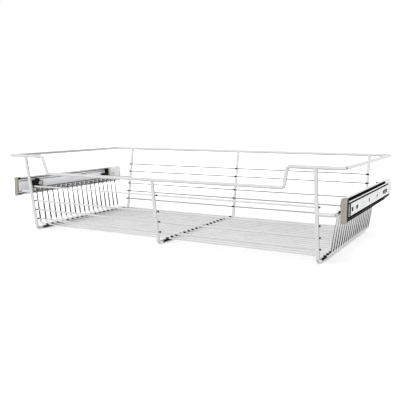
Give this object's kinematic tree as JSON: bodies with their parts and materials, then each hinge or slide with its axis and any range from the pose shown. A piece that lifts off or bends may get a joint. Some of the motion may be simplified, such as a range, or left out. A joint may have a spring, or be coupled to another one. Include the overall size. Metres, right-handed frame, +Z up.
{
  "type": "pull-out cabinet basket",
  "caption": "Pull-out wire basket with a dipped front rim, hung between a pair of telescopic ball-bearing slides that screw to the sides of a cabinet.",
  "frame": {"origin": "middle of the basket at the height of the underside of its frames", "axes": "front is -Y, +X is to the right seen from the front, +Z is up"},
  "size_m": [0.756, 0.409, 0.1715],
  "materials": {
    "bright_wire": "bright chrome plate",
    "zinc_sheet": "bright zinc plate",
    "cage_sheet": "plain pressed steel, oiled",
    "ball_steel": "polished",
    "beige_plastic": "satin moulded",
    "pale_plastic": "satin moulded",
    "black_plastic": "matt moulded"
  },
  "bodies": {
    "cabinet_side": {"cabinet_member_left": "zinc_sheet", "cabinet_member_right": "zinc_sheet"},
    "basket": {"rim": "bright_wire", "frame_left": "bright_wire", "frame_middle": "bright_wire", "frame_right": "bright_wire", "front_wire_1": "bright_wire", "front_wire_2": "bright_wire", "front_wire_3": "bright_wire", "front_wire_4": "bright_wire", "rear_wire_1": "bright_wire", "rear_wire_2": "bright_wire", "rear_wire_3": "bright_wire", "rear_wire_4": "bright_wire", "rear_wire_5": "bright_wire", "cross_wires_front": "bright_wire", "cross_wires_middle": "bright_wire", "cross_wires_rear": "bright_wire", "side_rail_left": "bright_wire", "drawer_member_left": "zinc_sheet", "front_cap_left": "beige_plastic", "front_clip_left": "beige_plastic", "rear_clip_left": "pale_plastic", "rear_catch_left": "black_plastic", "rear_plate_left": "zinc_sheet", "clip_rivets_left": "zinc_sheet", "lever_pin_left": "zinc_sheet", "side_rail_right": "bright_wire", "drawer_member_right": "zinc_sheet", "front_cap_right": "beige_plastic", "front_clip_right": "beige_plastic", "rear_clip_right": "pale_plastic", "rear_catch_right": "black_plastic", "rear_plate_right": "zinc_sheet", "clip_rivets_right": "zinc_sheet", "lever_pin_right": "zinc_sheet"},
    "intermediate_left": {"intermediate_member_left": "zinc_sheet", "intermediate_bumper_left": "black_plastic"},
    "outer_cage_left": {"outer_ball_cage_left": "cage_sheet", "outer_balls_left": "ball_steel"},
    "inner_cage_left": {"inner_ball_cage_left": "cage_sheet", "inner_balls_left": "ball_steel"},
    "lever_left": {"release_lever_left": "black_plastic"},
    "intermediate_right": {"intermediate_member_right": "zinc_sheet", "intermediate_bumper_right": "black_plastic"},
    "outer_cage_right": {"outer_ball_cage_right": "cage_sheet", "outer_balls_right": "ball_steel"},
    "inner_cage_right": {"inner_ball_cage_right": "cage_sheet", "inner_balls_right": "ball_steel"},
    "lever_right": {"release_lever_right": "black_plastic"}
  },
  "joints": [
    {"name": "basket_slide", "type": "slide", "parent": "cabinet_side", "child": "basket", "axis": [0, -1, 0], "range_m": [0, 0.37]},
    {"name": "intermediate_left_slide", "type": "slide", "parent": "cabinet_side", "child": "intermediate_left", "axis": [0, -1, 0], "range_m": [0, 0.185]},
    {"name": "outer_cage_left_slide", "type": "slide", "parent": "cabinet_side", "child": "outer_cage_left", "axis": [0, -1, 0], "range_m": [0, 0.0925]},
    {"name": "inner_cage_left_slide", "type": "slide", "parent": "intermediate_left", "child": "inner_cage_left", "axis": [0, -1, 0], "range_m": [0, 0.0925]},
    {"name": "lever_left_turn", "type": "hinge", "parent": "basket", "child": "lever_left", "pos_m": [-0.3605, -0.1331, 0.101], "axis": [-1, 0, 0], "range_deg": [0, 15], "stiffness_Nm_per_rad": 0.05},
    {"name": "intermediate_right_slide", "type": "slide", "parent": "cabinet_side", "child": "intermediate_right", "axis": [0, -1, 0], "range_m": [0, 0.185]},
    {"name": "outer_cage_right_slide", "type": "slide", "parent": "cabinet_side", "child": "outer_cage_right", "axis": [0, -1, 0], "range_m": [0, 0.0925]},
    {"name": "inner_cage_right_slide", "type": "slide", "parent": "intermediate_right", "child": "inner_cage_right", "axis": [0, -1, 0], "range_m": [0, 0.0925]},
    {"name": "lever_right_turn", "type": "hinge", "parent": "basket", "child": "lever_right", "pos_m": [0.3605, -0.1331, 0.101], "axis": [-1, 0, 0], "range_deg": [0, 15], "stiffness_Nm_per_rad": 0.05}
  ],
  "couplings": [
    {"joint": "intermediate_left_slide", "follows": "basket_slide", "ratio": 0.5},
    {"joint": "outer_cage_left_slide", "follows": "basket_slide", "ratio": 0.25},
    {"joint": "inner_cage_left_slide", "follows": "basket_slide", "ratio": 0.25},
    {"joint": "intermediate_right_slide", "follows": "basket_slide", "ratio": 0.5},
    {"joint": "outer_cage_right_slide", "follows": "basket_slide", "ratio": 0.25},
    {"joint": "inner_cage_right_slide", "follows": "basket_slide", "ratio": 0.25}
  ]
}
